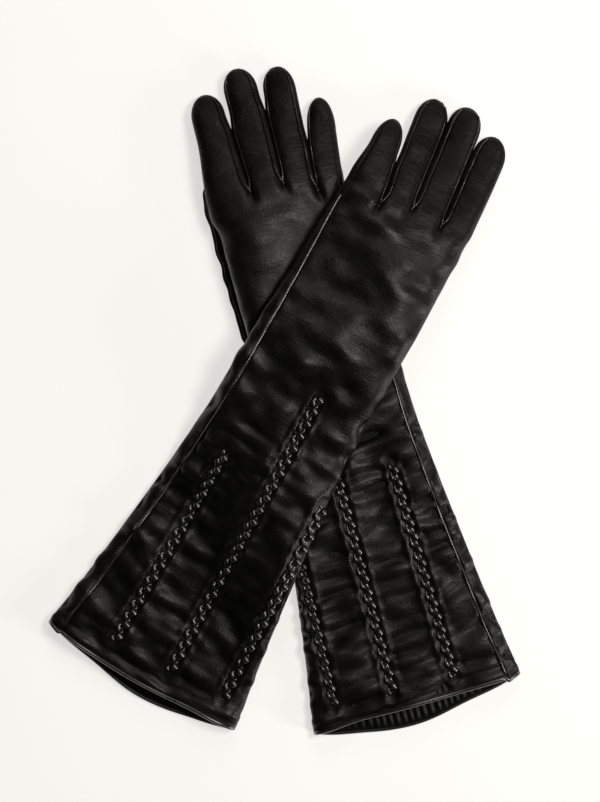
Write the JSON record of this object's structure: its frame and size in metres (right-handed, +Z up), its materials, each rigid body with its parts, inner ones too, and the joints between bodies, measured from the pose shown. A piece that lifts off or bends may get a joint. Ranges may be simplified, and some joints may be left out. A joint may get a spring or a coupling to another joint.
{
  "type": "leather gloves",
  "caption": "Pair of crossed elbow-length leather dress gloves with braided rows up the back, the left one laid over the right, with hinged fingers and thumbs.",
  "frame": {"origin": "middle of the footprint of the pair as laid crossed, on the table", "axes": "+Z up from the table, +Y from the cuffs towards the fingertips of the pair, +X towards the side the upper glove's fingers point to"},
  "size_m": [0.294, 0.414, 0.0378],
  "materials": {
    "leather": "smooth black nappa with a soft sheen",
    "lace": "plaited black leather lace, glossier than the glove",
    "lining": "thin black knit lining"
  },
  "bodies": {
    "right_glove": {"right_trank_back": "leather", "right_trank_palm": "leather", "right_cuff_facing_back": "leather", "right_cuff_facing_palm": "leather", "right_hand_lining": "lining", "right_little_side_braid": "lace", "right_middle_braid": "lace", "right_thumb_side_braid": "lace"},
    "right_little_finger": {"right_little_back": "leather", "right_little_front": "leather", "right_little_fourchette_thumb_side": "leather", "right_little_lining": "lining"},
    "right_ring_finger": {"right_ring_back": "leather", "right_ring_front": "leather", "right_ring_fourchette_thumb_side": "leather", "right_ring_fourchette_little_side": "leather", "right_ring_lining": "lining"},
    "right_middle_finger": {"right_middle_back": "leather", "right_middle_front": "leather", "right_middle_fourchette_thumb_side": "leather", "right_middle_fourchette_little_side": "leather", "right_middle_lining": "lining"},
    "right_index_finger": {"right_index_back": "leather", "right_index_front": "leather", "right_index_fourchette_little_side": "leather", "right_index_lining": "lining"},
    "right_thumb": {"right_thumb_upper": "leather", "right_thumb_lower": "leather"},
    "left_glove": {"left_trank_back": "leather", "left_trank_palm": "leather", "left_cuff_facing_back": "leather", "left_cuff_facing_palm": "leather", "left_hand_lining": "lining", "left_little_side_braid": "lace", "left_middle_braid": "lace", "left_thumb_side_braid": "lace"},
    "left_little_finger": {"left_little_back": "leather", "left_little_front": "leather", "left_little_fourchette_thumb_side": "leather", "left_little_lining": "lining"},
    "left_ring_finger": {"left_ring_back": "leather", "left_ring_front": "leather", "left_ring_fourchette_thumb_side": "leather", "left_ring_fourchette_little_side": "leather", "left_ring_lining": "lining"},
    "left_middle_finger": {"left_middle_back": "leather", "left_middle_front": "leather", "left_middle_fourchette_thumb_side": "leather", "left_middle_fourchette_little_side": "leather", "left_middle_lining": "lining"},
    "left_index_finger": {"left_index_back": "leather", "left_index_front": "leather", "left_index_fourchette_little_side": "leather", "left_index_lining": "lining"},
    "left_thumb": {"left_thumb_upper": "leather", "left_thumb_lower": "leather"}
  },
  "joints": [
    {"name": "left_glove_lift", "type": "slide", "parent": "right_glove", "child": "left_glove", "axis": [0, 0, 1], "range_m": [0, 0.12]},
    {"name": "right_little_fold", "type": "hinge", "parent": "right_glove", "child": "right_little_finger", "pos_m": [0.0258, 0.1431, 0.0124], "axis": [0.9603, 0.2627, -0.0935], "range_deg": [0, 70], "stiffness_Nm_per_rad": 0.002},
    {"name": "right_ring_fold", "type": "hinge", "parent": "right_glove", "child": "right_ring_finger", "pos_m": [0.0072, 0.1381, 0.0164], "axis": [0.9603, 0.2627, -0.0935], "range_deg": [0, 70], "stiffness_Nm_per_rad": 0.002},
    {"name": "right_middle_fold", "type": "hinge", "parent": "right_glove", "child": "right_middle_finger", "pos_m": [-0.0126, 0.1326, 0.0189], "axis": [0.9603, 0.2627, -0.0935], "range_deg": [0, 70], "stiffness_Nm_per_rad": 0.002},
    {"name": "right_index_fold", "type": "hinge", "parent": "right_glove", "child": "right_index_finger", "pos_m": [-0.0361, 0.1262, 0.0206], "axis": [0.9603, 0.2627, -0.0935], "range_deg": [0, 70], "stiffness_Nm_per_rad": 0.002},
    {"name": "left_little_fold", "type": "hinge", "parent": "left_glove", "child": "left_little_finger", "pos_m": [0.0496, 0.1358, 0.0295], "axis": [0.8719, -0.4833, -0.0787], "range_deg": [0, 70], "stiffness_Nm_per_rad": 0.002},
    {"name": "left_ring_fold", "type": "hinge", "parent": "left_glove", "child": "left_ring_finger", "pos_m": [0.0704, 0.1243, 0.0283], "axis": [0.8719, -0.4833, -0.0787], "range_deg": [0, 70], "stiffness_Nm_per_rad": 0.002},
    {"name": "left_middle_fold", "type": "hinge", "parent": "left_glove", "child": "left_middle_finger", "pos_m": [0.0878, 0.1147, 0.0264], "axis": [0.8719, -0.4833, -0.0787], "range_deg": [0, 70], "stiffness_Nm_per_rad": 0.002},
    {"name": "left_index_fold", "type": "hinge", "parent": "left_glove", "child": "left_index_finger", "pos_m": [0.1056, 0.1048, 0.0216], "axis": [0.8719, -0.4833, -0.0787], "range_deg": [0, 70], "stiffness_Nm_per_rad": 0.002},
    {"name": "right_thumb_swing", "type": "hinge", "parent": "right_glove", "child": "right_thumb", "pos_m": [-0.013, 0.0454, 0.0032], "axis": [0, 0, 1], "range_deg": [0, 45]},
    {"name": "left_thumb_swing", "type": "hinge", "parent": "left_glove", "child": "left_thumb", "pos_m": [0.0595, 0.0343, 0.0185], "axis": [-0.2415, -0.0661, -0.9681], "range_deg": [0, 45]}
  ]
}
